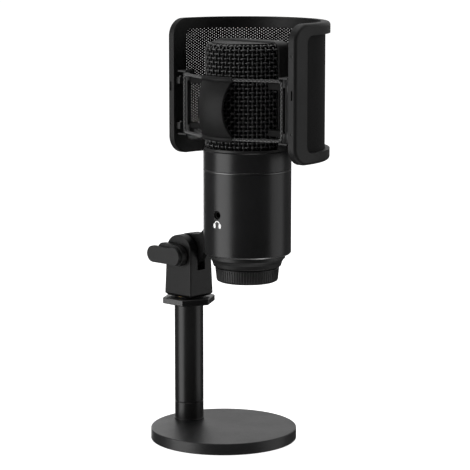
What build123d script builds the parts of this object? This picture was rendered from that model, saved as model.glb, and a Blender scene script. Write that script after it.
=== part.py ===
"""Desktop microphone on a round weighted base, with a clevis swivel and a U-shaped pop filter.

The origin is the centre of the base on the surface it stands on, and +Z is up. The microphone's front,
where the closed side of the pop filter is, faces -Y. The pole stands on the +X side of the base and the
microphone hangs beside it on the -X side. All sizes are in millimetres.
"""

import os
from math import asin, cos, degrees, radians, sin, sqrt, tan

from build123d import *

# Base and pole
BASE_RADIUS = 50.0
BASE_TOP = 8.2
BASE_UNDERSIDE = 0.4
PAD_RADIUS = 46.0
PAD_TOP = 1.0
POLE_X = 33.0
POLE_RADIUS = 10.0
POLE_BORE = 8.05
FOOT_COLLAR_LOW = 9.2
FOOT_COLLAR_TOP = 21.2
POLE_TOP = 90.4
STUD_RADIUS = 7.9
STUD_TOP = 109.0

# Lock nut and swivel block
NUT_LOW = 90.7
NUT_TOP = 95.0
NUT_FLATS = 32.5
BLOCK_LOW = 95.7
BLOCK_LENGTH = 25.2
BLOCK_WIDTH = 22.4
BLOCK_DRAFT = 1.75
PIVOT_X = POLE_X - 1.8
PIVOT_Z = 124.8
EAR_CENTRE_Z = 127.3
EAR_RADIUS = 11.6
SLOT_WIDTH = 7.2
SLOT_FLOOR = 114.8
WASHER_THICKNESS = 0.6
ARM_THICKNESS = 5.4
SHAFT_RADIUS = 3.0
SHAFT_BORE = 3.08
SHAFT_NUT_FLATS = 9.9
LEVER_FACE_Y = 18.4
LEVER_PLATE = 2.9
LEVER_LENGTH = 18.8
LEVER_RADIUS = 5.8
HUB_FACE_RADIUS = 6.5
HUB_RADIUS = 7.4
HUB_GAP = 0.55

# Microphone body
MIC_X = -22.0
BODY_RADIUS = 29.5
BODY_WALL = 1.8
HOUSING_LOW = 131.6
SEAM_LOW = 187.8
SEAM_TOP = 188.8
HEAD_LOW = 202.0
HEAD_TOP = 274.5
JACK_Z = 160.2
JACK_BORE = 1.8
BUTTON_Z = 166.0
BUTTON_RADIUS = 5.4
LENS_Z = 178.0
ARM_SCREW_Z = (141.0, 153.0)
CLEARANCE = 0.3

# Head: frame, grilles and capsule
FRAME_OUTER = 28.9
FRAME_INNER = 27.0
FRAME_SHOULDER = 5.2
BAND_REAR_Y = 1.2
BAND_FRONT_Y = -10.0
EDGE_BEAD = 0.45
WINDOW_LOW = 203.6
WINDOW_CORNER_RADIUS = 4.5
GRILLE_OUTER = 28.4
GRILLE_INNER = 26.0
GRILLE_TOP = 273.4
GRILLE_SHOULDER = 4.7
LINER_OUTER = 25.8
LINER_INNER = 24.8
LINER_TOP = 268.0
CAPSULE_Z = 238.0
CAPSULE_RADIUS = 12.8

# Collar and dial under the housing
DIAL_LOW = 112.7
DIAL_TOP = 122.5
DIAL_RADIUS_TOP = 21.6
DIAL_RADIUS_LOW = 20.8
RIB_COUNT = 72
CORE_RADIUS = 11.7
COLLAR_LOW = 122.8
COLLAR_INNER = 18.4

# Pop filter
FILTER_LOW = 195.9
FILTER_TOP = 287.4
RAIL_HEIGHT = 7.6
U_CENTRE_Y = 4.0
RAIL_RADIUS = 57.5
FILTER_INNER = 51.5
INNER_FRAME_OUTER = 53.5
MESH_THICKNESS = 0.3
SPACER_INNER = INNER_FRAME_OUTER + MESH_THICKNESS
SPACER_OUTER = 54.1
ARM_END_Y = 17.4
END_BAR_WIDTH = 12.0
END_WALL = 1.4
CORNER_RADIUS = 12.0
FILTER_WINDOW_CORNER = 5.0
END_SCREW_Z = (216.7, 266.8)
END_SLOT_Z = 241.8

# Brackets, cord and pull plate
CORD_RADIUS = 1.05
CORD_LOW = 211.5
CORD_TOP = 250.4
CORD_X = 43.8
CORD_Y = 14.8
CORD_TURN = 2.6
BRACKET_LOW = 209.2
BRACKET_TOP = 252.8
BRACKET_NEAR = 42.0
BRACKET_SPINE = 44.2
BRACKET_FAR = 48.2
BRACKET_FRONT_Y = 8.0
TAB_THICKNESS = 1.1
TAB_BACK_Y = 15.9
CHEEK_HEIGHT = 6.8
LUG_LOWS = (212.9, 243.6)
LUG_HEIGHT = 4.4
BUMPER_Z = (215.6, 246.2)
PLATE_CORD_RADIUS = 31.1
PLATE_HALF_ANGLE = 25.0
PLATE_BULGE = 6.6
PLATE_THICKNESS = 1.7
BEAD_RADIUS = 1.9

MIC_AXIS = Axis((MIC_X, 0, 0), (0, 0, 1))
MIC_SECTION = Plane(origin=(MIC_X, 0, 0), x_dir=(1, 0, 0), z_dir=(0, -1, 0))
UPRIGHT = (Align.CENTER, Align.CENTER, Align.MIN)
FACING_REAR = (90, 0, 0)


def tube(x, low, high, outer, inner=0.0, mode=Mode.ADD):
    """Add an upright tube, or a disc when it has no inner radius, to the part being built."""
    with Locations((x, 0, low)):
        Cylinder(outer, high - low, align=UPRIGHT, mode=mode)
        if inner > 0:
            Cylinder(inner, high - low, align=UPRIGHT, mode=Mode.SUBTRACT)


def rod_along_y(x, z, near, far, radius, mode=Mode.ADD):
    """Add a round rod that runs along Y from near to far."""
    with Locations((x, (near + far) / 2, z)):
        Cylinder(radius, abs(far - near), rotation=FACING_REAR, mode=mode)


def block(low, high, mode=Mode.ADD):
    """Add a box given by its lowest and highest corners."""
    centre = [(a + b) / 2 for a, b in zip(low, high)]
    with Locations(tuple(centre)):
        Box(*[b - a for a, b in zip(low, high)], mode=mode)


def u_outline(radius, rear):
    """The U shape seen from above: half a circle at the front with straight arms back to rear."""
    with BuildSketch() as outline:
        with BuildLine():
            Line((MIC_X + radius, rear), (MIC_X + radius, U_CENTRE_Y))
            ThreePointArc(
                (MIC_X + radius, U_CENTRE_Y),
                (MIC_X, U_CENTRE_Y - radius),
                (MIC_X - radius, U_CENTRE_Y),
            )
            Line((MIC_X - radius, U_CENTRE_Y), (MIC_X - radius, rear))
            Line((MIC_X - radius, rear), (MIC_X + radius, rear))
        make_face()
    return outline.sketch


def u_band(low, high, outer, inner, rear, mode=Mode.ADD):
    """Add a U-shaped wall between two radii, from low to high."""
    with BuildPart(mode=Mode.PRIVATE) as band:
        extrude(Plane.XY.offset(low) * u_outline(outer, rear), amount=high - low)
        extrude(
            Plane.XY.offset(low - 1) * u_outline(inner, rear + 1),
            amount=high - low + 2,
            mode=Mode.SUBTRACT,
        )
    add(band.part, mode=mode)


def side_outline(low, high, rear, corner, front=-60.0):
    """Side view of the pop filter's outline: square at the front, rounded at the rear corners."""
    with BuildSketch(Plane.YZ) as outline:
        with Locations(((rear + front) / 2, (low + high) / 2)):
            Rectangle(rear - front, high - low)
        rear_corners = outline.vertices().group_by(Axis.X)[-1]
        fillet(rear_corners, corner)
    return outline.sketch


def across_filter(outline, mode=Mode.INTERSECT):
    """Cut or keep the part being built by a side view that runs right across the pop filter."""
    with BuildPart(mode=Mode.PRIVATE) as prism:
        extrude(outline, amount=100.0, both=True)
    add(prism.part, mode=mode)


def mirrored(side):
    """X of a place on the pop filter: side is +1 for the pole's side and -1 for the other."""
    return lambda distance: MIC_X + side * distance


# ---------------------------------------------------------------- base and pole

with BuildPart() as base_disc:
    tube(0, BASE_UNDERSIDE, BASE_TOP, BASE_RADIUS)
    fillet(base_disc.edges().filter_by(GeomType.CIRCLE).group_by(Axis.Z)[-1], 0.7)
    chamfer(base_disc.edges().filter_by(GeomType.CIRCLE).group_by(Axis.Z)[0], 0.3)
    tube(0, BASE_UNDERSIDE, PAD_TOP, PAD_RADIUS + 0.1, mode=Mode.SUBTRACT)
    tube(POLE_X, PAD_TOP, 5.2, 7.0, mode=Mode.SUBTRACT)
    tube(POLE_X, 5.2, BASE_TOP, 4.2, mode=Mode.SUBTRACT)

with BuildPart() as base_pad:
    tube(0, 0, PAD_TOP, PAD_RADIUS)

with BuildPart() as base_screw:
    tube(POLE_X, 1.4, 5.2, 6.5)
    tube(POLE_X, 5.2, 24.0, 4.0)
    with BuildSketch(Plane.XY.offset(1.4)):
        with Locations((POLE_X, 0)):
            RegularPolygon(2.5, 6, major_radius=False)
    extrude(amount=2.4, mode=Mode.SUBTRACT)

with BuildPart() as foot_washer:
    tube(POLE_X, BASE_TOP, FOOT_COLLAR_LOW, POLE_RADIUS + 0.35, 4.3)
    fillet(foot_washer.edges().group_by(Axis.Z)[-1].sort_by(SortBy.RADIUS)[-1], 0.3)

with BuildPart() as foot_collar:
    tube(POLE_X, FOOT_COLLAR_LOW, FOOT_COLLAR_TOP, POLE_RADIUS, POLE_BORE)
    rims = foot_collar.edges().filter_by(GeomType.CIRCLE).group_by(Axis.Z)
    chamfer(rims[-1].sort_by(SortBy.RADIUS)[-1], 0.35)

with BuildPart() as foot_insert:
    tube(POLE_X, FOOT_COLLAR_LOW, 30.0, POLE_BORE - 0.02, 4.05)

with BuildPart() as pole_tube:
    tube(POLE_X, FOOT_COLLAR_TOP, POLE_TOP, POLE_RADIUS, POLE_BORE)
    rims = pole_tube.edges().filter_by(GeomType.CIRCLE).group_by(Axis.Z)
    chamfer(rims[0].sort_by(SortBy.RADIUS)[-1], 0.35)
    chamfer(rims[-1].sort_by(SortBy.RADIUS)[-1], 0.5)

with BuildPart() as pole_stud:
    tube(POLE_X, 70.0, POLE_TOP, POLE_BORE - 0.02)
    tube(POLE_X, POLE_TOP, STUD_TOP, STUD_RADIUS)
    chamfer(pole_stud.edges().group_by(Axis.Z)[-1], 0.8)

# ---------------------------------------------------------------- lock nut

with BuildPart() as hex_lock_nut:
    with BuildSketch(Plane.XY.offset(NUT_LOW)):
        with Locations((POLE_X, 0)):
            RegularPolygon(NUT_FLATS / 2, 6, major_radius=False)
            Circle(STUD_RADIUS + 0.05, mode=Mode.SUBTRACT)
    extrude(amount=NUT_TOP - NUT_LOW)
    rim_edges = hex_lock_nut.edges().filter_by(GeomType.LINE)
    fillet(rim_edges.filter_by(Axis.Z), 0.6)
    flat_rims = hex_lock_nut.faces().filter_by(Axis.Z).edges().filter_by(GeomType.LINE)
    chamfer(flat_rims, 0.45)

# ---------------------------------------------------------------- swivel block

with BuildPart() as thrust_washer:
    tube(POLE_X, NUT_TOP + CLEARANCE, BLOCK_LOW, 10.0, STUD_RADIUS + 0.3)

with BuildPart() as clevis_block:
    with BuildSketch(Plane.XY.offset(BLOCK_LOW)):
        with Locations((POLE_X, 0)):
            Rectangle(BLOCK_LENGTH, BLOCK_WIDTH)
    extrude(amount=EAR_CENTRE_Z + EAR_RADIUS - BLOCK_LOW, taper=BLOCK_DRAFT)
    chamfer(clevis_block.faces().sort_by(Axis.Z)[0].edges(), 1.9)
    fillet(clevis_block.edges().filter_by(Axis.Z, tolerance=4.0), 0.8)
    with BuildSketch(Plane.XZ.offset(-BLOCK_WIDTH)):
        with Locations((POLE_X, EAR_CENTRE_Z)):
            Circle(EAR_RADIUS)
        with Locations((POLE_X, (EAR_CENTRE_Z + BLOCK_LOW) / 2)):
            Rectangle(BLOCK_LENGTH, EAR_CENTRE_Z - BLOCK_LOW)
    extrude(amount=2 * BLOCK_WIDTH, mode=Mode.INTERSECT)
    block(
        (POLE_X - BLOCK_LENGTH, -SLOT_WIDTH / 2, SLOT_FLOOR),
        (POLE_X + BLOCK_LENGTH, SLOT_WIDTH / 2, EAR_CENTRE_Z + 2 * EAR_RADIUS),
        mode=Mode.SUBTRACT,
    )
    rod_along_y(PIVOT_X, PIVOT_Z, -BLOCK_WIDTH, BLOCK_WIDTH, SHAFT_BORE, mode=Mode.SUBTRACT)
    tube(POLE_X, BLOCK_LOW, STUD_TOP + 2.0, 9.5, mode=Mode.SUBTRACT)
    with BuildSketch(Plane.XZ.offset(BLOCK_WIDTH / 2)):
        with Locations((PIVOT_X, PIVOT_Z)):
            RegularPolygon(SHAFT_NUT_FLATS / 2 + 0.05, 6, major_radius=False)
    extrude(amount=-4.2, mode=Mode.SUBTRACT)

with BuildPart() as thread_insert:
    tube(POLE_X, BLOCK_LOW, STUD_TOP + 1.0, 9.48, STUD_RADIUS + 0.06)

EAR_FACE_Y = BLOCK_WIDTH / 2 - (PIVOT_Z - BLOCK_LOW) * tan(radians(BLOCK_DRAFT))

with BuildPart() as pivot_nut:
    with BuildSketch(Plane.XZ.offset(EAR_FACE_Y - 0.3)):
        with Locations((PIVOT_X, PIVOT_Z)):
            RegularPolygon(SHAFT_NUT_FLATS / 2, 6, major_radius=False)
            Circle(SHAFT_BORE, mode=Mode.SUBTRACT)
    extrude(amount=-2.9)

with BuildPart() as friction_washers:
    for side in (-1, 1):
        face = side * SLOT_WIDTH / 2
        rod_along_y(PIVOT_X, PIVOT_Z, face, face - side * WASHER_THICKNESS, 9.0)
    rod_along_y(PIVOT_X, PIVOT_Z, -SLOT_WIDTH, SLOT_WIDTH, SHAFT_BORE, mode=Mode.SUBTRACT)

# ---------------------------------------------------------------- thumb screw

HUB_BACK_Y = EAR_FACE_Y + HUB_GAP
PLATE_BACK_Y = LEVER_FACE_Y - LEVER_PLATE

with BuildPart() as thumb_shaft:
    rod_along_y(PIVOT_X, PIVOT_Z, 1.2 - EAR_FACE_Y, LEVER_FACE_Y - 2.0, SHAFT_RADIUS)
    chamfer(thumb_shaft.edges().group_by(Axis.Y)[0], 0.5)

with BuildPart() as thumb_lever:
    with BuildSketch(Plane.XZ.offset(-LEVER_FACE_Y)):
        with Locations((PIVOT_X, PIVOT_Z)):
            Circle(HUB_FACE_RADIUS)
        with Locations((PIVOT_X + LEVER_LENGTH / 2, PIVOT_Z)):
            SlotCenterToCenter(LEVER_LENGTH, 2 * LEVER_RADIUS)
    extrude(amount=LEVER_PLATE)
    fillet(thumb_lever.faces().sort_by(Axis.Y)[-1].edges(), 0.5)
    with BuildSketch(Plane.XZ.offset(-PLATE_BACK_Y)):
        with Locations((PIVOT_X, PIVOT_Z)):
            Circle(HUB_RADIUS)
        with Locations((PIVOT_X + LEVER_LENGTH - 7.4, PIVOT_Z + 3.4)):
            Circle(LEVER_RADIUS - 0.8)
        make_hull()
    extrude(amount=PLATE_BACK_Y - HUB_BACK_Y)
    with BuildSketch(Plane.XY.offset(PIVOT_Z - 2 * HUB_RADIUS)):
        with BuildLine():
            Polyline(
                (PIVOT_X + HUB_RADIUS + 0.6, HUB_BACK_Y),
                (PIVOT_X + 2 * LEVER_LENGTH, HUB_BACK_Y),
                (PIVOT_X + 2 * LEVER_LENGTH, PLATE_BACK_Y),
                (PIVOT_X + LEVER_LENGTH - 2.0, PLATE_BACK_Y),
                close=True,
            )
        make_face()
    extrude(amount=4 * HUB_RADIUS, mode=Mode.SUBTRACT)
    rod_along_y(PIVOT_X, PIVOT_Z, HUB_BACK_Y, LEVER_FACE_Y - 2.0, SHAFT_RADIUS, mode=Mode.SUBTRACT)

# ---------------------------------------------------------------- arm of the microphone

SADDLE_LOW = 135.0
SADDLE_TOP = 159.0
SADDLE_THICKNESS = 3.6
SADDLE_HALF_ANGLE = 14.0

with BuildPart() as swivel_arm:
    with BuildSketch(Plane.XZ.offset(-ARM_THICKNESS / 2)):
        with BuildLine():
            saddle_x = MIC_X + BODY_RADIUS + SADDLE_THICKNESS / 2
            crown = ThreePointArc(
                (PIVOT_X + 9.4, PIVOT_Z + 9.4),
                (PIVOT_X + 5.4, PIVOT_Z + 13.3),
                (PIVOT_X - 2.2, PIVOT_Z + 14.4),
            )
            top = Line(crown @ 1, (PIVOT_X - 10.7, PIVOT_Z + 15.2))
            rise = ThreePointArc(
                top @ 1,
                (PIVOT_X - 17.7, PIVOT_Z + 22.6),
                (saddle_x, SADDLE_TOP - 2.0),
            )
            back = Line(rise @ 1, (saddle_x, SADDLE_LOW + 1.0))
            under = Line(back @ 1, (PIVOT_X - 9.6, PIVOT_Z - 4.6))
            heel = Line(under @ 1, (PIVOT_X - 8.0, PIVOT_Z - 4.6))
            eye = ThreePointArc(
                heel @ 1,
                (PIVOT_X + 1.5, PIVOT_Z - 9.28),
                (PIVOT_X + 9.4, PIVOT_Z),
            )
            Line(eye @ 1, crown @ 0)
        make_face()
    extrude(amount=ARM_THICKNESS)
    with BuildSketch(Plane.XY.offset(SADDLE_LOW)):
        with Locations((MIC_X, 0)):
            Circle(BODY_RADIUS + SADDLE_THICKNESS)
            Circle(BODY_RADIUS, mode=Mode.SUBTRACT)
        with BuildLine():
            reach = 2 * BODY_RADIUS
            wedge_y = reach * sin(radians(SADDLE_HALF_ANGLE))
            Polyline((MIC_X, 0), (MIC_X + reach, -wedge_y), (MIC_X + reach, wedge_y), close=True)
        make_face(mode=Mode.INTERSECT)
    extrude(amount=SADDLE_TOP - SADDLE_LOW)
    rod_along_y(PIVOT_X, PIVOT_Z, -BLOCK_WIDTH, BLOCK_WIDTH, SHAFT_BORE, mode=Mode.SUBTRACT)
    for screw_z in ARM_SCREW_Z:
        with Locations((MIC_X + BODY_RADIUS, 0, screw_z)):
            Cylinder(1.3, 2 * SADDLE_THICKNESS, rotation=(0, 90, 0), mode=Mode.SUBTRACT)

with BuildPart() as arm_screws:
    inner_wall = MIC_X + BODY_RADIUS - BODY_WALL
    for screw_z in ARM_SCREW_Z:
        with Locations((inner_wall - 1.2, 0, screw_z)):
            Cylinder(2.6, 2.0, rotation=(0, 90, 0))
        with Locations((inner_wall + 2.1, 0, screw_z)):
            Cylinder(1.25, 4.8, rotation=(0, 90, 0))

# ---------------------------------------------------------------- microphone body

with BuildPart() as lower_housing:
    tube(MIC_X, HOUSING_LOW, SEAM_LOW, BODY_RADIUS)
    chamfer(lower_housing.edges().group_by(Axis.Z)[0], 0.9)
    chamfer(lower_housing.edges().filter_by(GeomType.CIRCLE).group_by(Axis.Z)[-1], 0.25)
    tube(MIC_X, HOUSING_LOW + 2.0, SEAM_LOW, BODY_RADIUS - BODY_WALL, mode=Mode.SUBTRACT)
    tube(MIC_X, HOUSING_LOW, HOUSING_LOW + 2.0, 12.0, mode=Mode.SUBTRACT)
    rod_along_y(MIC_X, JACK_Z, 20.0, BODY_RADIUS + 1, 2.95, mode=Mode.SUBTRACT)
    rod_along_y(MIC_X, BUTTON_Z, -20.0, -BODY_RADIUS - 1, BUTTON_RADIUS + CLEARANCE, mode=Mode.SUBTRACT)
    rod_along_y(MIC_X, LENS_Z, -20.0, -BODY_RADIUS - 1, 1.3, mode=Mode.SUBTRACT)
    for screw_z in ARM_SCREW_Z:
        with Locations((MIC_X + BODY_RADIUS, 0, screw_z)):
            Cylinder(1.3, 4 * BODY_WALL, rotation=(0, 90, 0), mode=Mode.SUBTRACT)

with BuildPart() as seam_ring:
    tube(MIC_X, SEAM_LOW, SEAM_TOP, BODY_RADIUS + 0.05, BODY_RADIUS - BODY_WALL)
    fillet(seam_ring.edges().group_by(Axis.Z)[-1].sort_by(SortBy.RADIUS)[-1], 0.3)

with BuildPart() as upper_ring:
    tube(MIC_X, SEAM_TOP, HEAD_LOW, BODY_RADIUS, BODY_RADIUS - BODY_WALL)
    rims = upper_ring.edges().filter_by(GeomType.CIRCLE).group_by(Axis.Z)
    chamfer(rims[0].sort_by(SortBy.RADIUS)[-1], 0.35)
    chamfer(rims[-1].sort_by(SortBy.RADIUS)[-1], 0.5)

with BuildPart() as bottom_collar:
    with BuildSketch(MIC_SECTION):
        with BuildLine():
            Polyline(
                (COLLAR_INNER, COLLAR_LOW),
                (21.7, COLLAR_LOW),
                (22.4, COLLAR_LOW + 0.3),
                (22.9, COLLAR_LOW + 0.8),
                (23.5, COLLAR_LOW + 3.1),
                (24.4, COLLAR_LOW + 4.7),
                (25.6, COLLAR_LOW + 5.9),
                (25.6, HOUSING_LOW - 0.7),
                (25.0, HOUSING_LOW - 0.4),
                (25.0, HOUSING_LOW),
                (COLLAR_INNER, HOUSING_LOW),
                close=True,
            )
        make_face()
    revolve(axis=MIC_AXIS)

with BuildPart() as dial_core:
    tube(MIC_X, DIAL_LOW + 0.4, HOUSING_LOW + 2.0, CORE_RADIUS)
    tube(MIC_X, HOUSING_LOW + 2.0, HOUSING_LOW + 4.0, 16.0)
    chamfer(dial_core.edges().group_by(Axis.Z)[0], 0.5)
    block(
        (MIC_X - 4.75, -1.9, DIAL_LOW),
        (MIC_X + 4.75, 1.9, DIAL_LOW + 10.0),
        mode=Mode.SUBTRACT,
    )

with BuildPart() as usb_socket:
    with BuildSketch(Plane.XY.offset(DIAL_LOW + 0.6)):
        with Locations((MIC_X, 0)):
            RectangleRounded(8.94, 3.26, 1.5)
            RectangleRounded(8.34, 2.66, 1.2, mode=Mode.SUBTRACT)
    extrude(amount=7.0)
    block((MIC_X - 4.4, -1.6, DIAL_LOW + 7.6), (MIC_X + 4.4, 1.6, DIAL_LOW + 9.9))
    block((MIC_X - 3.3, -0.35, DIAL_LOW + 1.4), (MIC_X + 3.3, 0.35, DIAL_LOW + 7.6))

with BuildPart() as dial_encoder:
    tube(MIC_X, 126.4, 130.4, 17.6, CORE_RADIUS)
    block((MIC_X - 3.0, 11.9, 128.0), (MIC_X + 3.0, 18.0, HOUSING_LOW))

with BuildPart() as volume_dial:
    with BuildSketch(MIC_SECTION):
        with BuildLine():
            Polyline(
                (CORE_RADIUS + CLEARANCE, DIAL_LOW + 0.5),
                (CORE_RADIUS + CLEARANCE + 0.5, DIAL_LOW),
                (DIAL_RADIUS_LOW - 1.6, DIAL_LOW),
                (DIAL_RADIUS_LOW - 0.4, DIAL_LOW + 0.6),
                (DIAL_RADIUS_LOW, DIAL_LOW + 1.7),
                (DIAL_RADIUS_TOP, DIAL_TOP - 0.5),
                (DIAL_RADIUS_TOP - 0.5, DIAL_TOP),
                (18.0, DIAL_TOP),
                (18.0, 126.0),
                (CORE_RADIUS + CLEARANCE, 126.0),
                close=True,
            )
        make_face()
    revolve(axis=MIC_AXIS)
    lean = degrees(asin((DIAL_RADIUS_TOP - DIAL_RADIUS_LOW) / (DIAL_TOP - DIAL_LOW)))
    groove_radius = (DIAL_RADIUS_TOP + DIAL_RADIUS_LOW) / 2 + 0.1
    with Locations((MIC_X, 0, (DIAL_LOW + DIAL_TOP) / 2 + 0.1)):
        with PolarLocations(groove_radius, RIB_COUNT):
            Cylinder(0.55, DIAL_TOP - DIAL_LOW - 1.8, rotation=(0, lean, 0), mode=Mode.SUBTRACT)

# ---------------------------------------------------------------- inside the housing

BOARD_Y = 10.0

with BuildPart() as main_board:
    block((MIC_X - 18.0, BOARD_Y, 139.0), (MIC_X + 18.0, BOARD_Y + 1.6, 184.0))
    for chip_x, chip_z, chip_size in ((-8.0, 150.0, 7.0), (6.0, 172.0, 5.0), (-6.0, 174.0, 4.0)):
        block(
            (MIC_X + chip_x, BOARD_Y - 1.2, chip_z),
            (MIC_X + chip_x + chip_size, BOARD_Y, chip_z + chip_size),
        )

with BuildPart() as headphone_socket:
    block((MIC_X - 3.6, BOARD_Y + 1.6, JACK_Z - 3.2), (MIC_X + 3.6, 26.2, JACK_Z + 3.2))
    rod_along_y(MIC_X, JACK_Z, 26.2, 28.4, 2.85)
    rod_along_y(MIC_X, JACK_Z, 13.4, 28.4, JACK_BORE, mode=Mode.SUBTRACT)

with BuildPart() as button_board:
    block((MIC_X - 9.0, -19.6, 157.0), (MIC_X + 9.0, -18.0, 183.0))

with BuildPart() as mute_switch:
    block((MIC_X - 3.0, -22.6, BUTTON_Z - 3.0), (MIC_X + 3.0, -19.6, BUTTON_Z + 3.0))
    rod_along_y(MIC_X, BUTTON_Z, -22.6, -23.6, 1.6)

with BuildPart() as status_lens:
    rod_along_y(MIC_X, LENS_Z, -19.6, -BODY_RADIUS + 0.1, 1.25)

with BuildPart() as mute_button:
    rod_along_y(MIC_X, BUTTON_Z, -24.8, -BODY_RADIUS - 0.9, BUTTON_RADIUS)
    fillet(mute_button.edges().filter_by(GeomType.CIRCLE).group_by(Axis.Y)[0], 0.7)

# ---------------------------------------------------------------- head

with BuildPart() as head_deck:
    tube(MIC_X, HEAD_LOW - 2.2, HEAD_LOW, BODY_RADIUS - BODY_WALL)


def head_window(plane_y, direction, mode):
    """Cut, or keep, everything above the sill of one of the head's two windows."""
    reach = FRAME_OUTER + 3.0
    with BuildPart(mode=Mode.PRIVATE) as prism:
        with BuildSketch(Plane.XZ.offset(-plane_y)) as opening:
            with Locations((MIC_X, (WINDOW_LOW + HEAD_TOP) / 2 + 5.0)):
                Rectangle(2 * reach, HEAD_TOP - WINDOW_LOW + 10.0)
            sill_corners = opening.vertices().group_by(Axis.Y)[0]
            fillet(sill_corners, WINDOW_CORNER_RADIUS)
        extrude(amount=direction * 2 * FRAME_OUTER)
    add(prism.part, mode=mode)


def domed_shell(outer, inner, low, top, shoulder):
    """Add a wall that turns inwards over a rounded shoulder to a short flat top."""
    thickness = outer - inner
    bend = top - shoulder
    corner = (shoulder - thickness) * sqrt(0.5)
    with BuildSketch(MIC_SECTION, mode=Mode.PRIVATE) as section:
        with BuildLine():
            Line((inner, low), (outer, low))
            Line((outer, low), (outer, bend))
            ThreePointArc(
                (outer, bend),
                (outer - shoulder * (1 - sqrt(0.5)), bend + shoulder * sqrt(0.5)),
                (outer - shoulder, top),
            )
            Line((outer - shoulder, top), (outer - shoulder, top - thickness))
            ThreePointArc(
                (outer - shoulder, top - thickness),
                (outer - shoulder + corner, bend + corner),
                (inner, bend),
            )
            Line((inner, bend), (inner, low))
        make_face()
    revolve(section.sketch, axis=MIC_AXIS)


def edge_bead(y):
    """Add the round bead that follows one edge of the band, up one side, over the top and down."""
    edge_x = sqrt(FRAME_OUTER**2 - y**2)
    with BuildLine(mode=Mode.PRIVATE) as route:
        FilletPolyline(
            (MIC_X + edge_x, y, WINDOW_LOW),
            (MIC_X + edge_x, y, HEAD_TOP - EDGE_BEAD),
            (MIC_X - edge_x, y, HEAD_TOP - EDGE_BEAD),
            (MIC_X - edge_x, y, WINDOW_LOW),
            radius=FRAME_SHOULDER,
        )
    start = Plane(origin=route.line @ 0, z_dir=route.line % 0)
    with BuildSketch(start, mode=Mode.PRIVATE) as section:
        Circle(EDGE_BEAD)
    sweep(section.sketch, path=route.line)


with BuildPart() as head_frame:
    domed_shell(FRAME_OUTER, FRAME_INNER, HEAD_LOW, HEAD_TOP, FRAME_SHOULDER)
    tube(MIC_X, GRILLE_TOP - 1.8, HEAD_TOP, FRAME_OUTER - FRAME_SHOULDER)
    head_window(BAND_REAR_Y, -1, Mode.SUBTRACT)
    head_window(BAND_FRONT_Y, 1, Mode.SUBTRACT)
    tube(MIC_X, GRILLE_TOP - 1.8, GRILLE_TOP, GRILLE_OUTER - GRILLE_SHOULDER)
    edge_bead(BAND_REAR_Y - EDGE_BEAD)
    edge_bead(BAND_FRONT_Y + EDGE_BEAD)

with BuildPart() as rear_grille:
    domed_shell(GRILLE_OUTER, GRILLE_INNER, WINDOW_LOW, GRILLE_TOP, GRILLE_SHOULDER)
    head_window(BAND_REAR_Y, -1, Mode.INTERSECT)

with BuildPart() as front_grille:
    domed_shell(GRILLE_OUTER, GRILLE_INNER, WINDOW_LOW, GRILLE_TOP, GRILLE_SHOULDER)
    head_window(BAND_FRONT_Y, 1, Mode.INTERSECT)

with BuildPart() as grille_liner:
    tube(MIC_X, HEAD_LOW, LINER_TOP, LINER_OUTER, LINER_INNER)

with BuildPart() as capsule_body:
    rod_along_y(MIC_X, CAPSULE_Z, -5.0, 5.0, CAPSULE_RADIUS)
    fillet(capsule_body.edges().filter_by(GeomType.CIRCLE), 0.6)

with BuildPart() as capsule_diaphragm:
    rod_along_y(MIC_X, CAPSULE_Z, -5.0, -5.6, CAPSULE_RADIUS - 1.4)

with BuildPart() as capsule_cradle:
    tube(MIC_X, HEAD_LOW, HEAD_LOW + 3.0, 11.0)
    tube(MIC_X, HEAD_LOW + 3.0, CAPSULE_Z - CAPSULE_RADIUS, 4.0)
    rod_along_y(MIC_X, CAPSULE_Z, -3.5, 3.5, CAPSULE_RADIUS + 2.2)
    rod_along_y(MIC_X, CAPSULE_Z, -3.5, 3.5, CAPSULE_RADIUS, mode=Mode.SUBTRACT)

# ---------------------------------------------------------------- pop filter

BAR_FRONT_Y = ARM_END_Y - END_BAR_WIDTH
outer_side = side_outline(FILTER_LOW, FILTER_TOP, ARM_END_Y, CORNER_RADIUS)
inset_side = side_outline(
    FILTER_LOW + END_WALL,
    FILTER_TOP - END_WALL,
    ARM_END_Y - END_WALL,
    CORNER_RADIUS - END_WALL,
)
window_side = side_outline(
    FILTER_LOW + RAIL_HEIGHT,
    FILTER_TOP - RAIL_HEIGHT,
    BAR_FRONT_Y,
    FILTER_WINDOW_CORNER,
)



def on_outer_rim(edge):
    """Whether an edge belongs to the loop round the outermost face of the pop filter."""
    middle = edge @ 0.5
    distance = sqrt((middle.X - MIC_X) ** 2 + min(middle.Y - U_CENTRE_Y, 0.0) ** 2)
    on_face = distance > RAIL_RADIUS - 0.01
    where_face_bends = abs(middle.Y - U_CENTRE_Y) < 0.01
    return on_face and not where_face_bends


with BuildPart() as filter_frame:
    u_band(FILTER_LOW, FILTER_TOP, RAIL_RADIUS, FILTER_INNER, ARM_END_Y)
    across_filter(outer_side)
    fillet(filter_frame.edges().filter_by(on_outer_rim), 2.4)
    with BuildPart(mode=Mode.PRIVATE) as inside:
        u_band(FILTER_LOW, FILTER_TOP, SPACER_OUTER + MESH_THICKNESS, FILTER_INNER - 1, ARM_END_Y)
        across_filter(inset_side)
    add(inside.part, mode=Mode.SUBTRACT)
    across_filter(window_side, mode=Mode.SUBTRACT)
    for side in (-1, 1):
        slot_x = mirrored(side)((RAIL_RADIUS + FILTER_INNER) / 2)
        block(
            (slot_x - 0.55, ARM_END_Y - END_WALL, END_SLOT_Z - 3.0),
            (slot_x + 0.55, ARM_END_Y, END_SLOT_Z + 3.0),
            mode=Mode.SUBTRACT,
        )
        for screw_z in END_SCREW_Z:
            rod_along_y(slot_x, screw_z, ARM_END_Y - END_WALL, ARM_END_Y, 0.85, mode=Mode.SUBTRACT)

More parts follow.
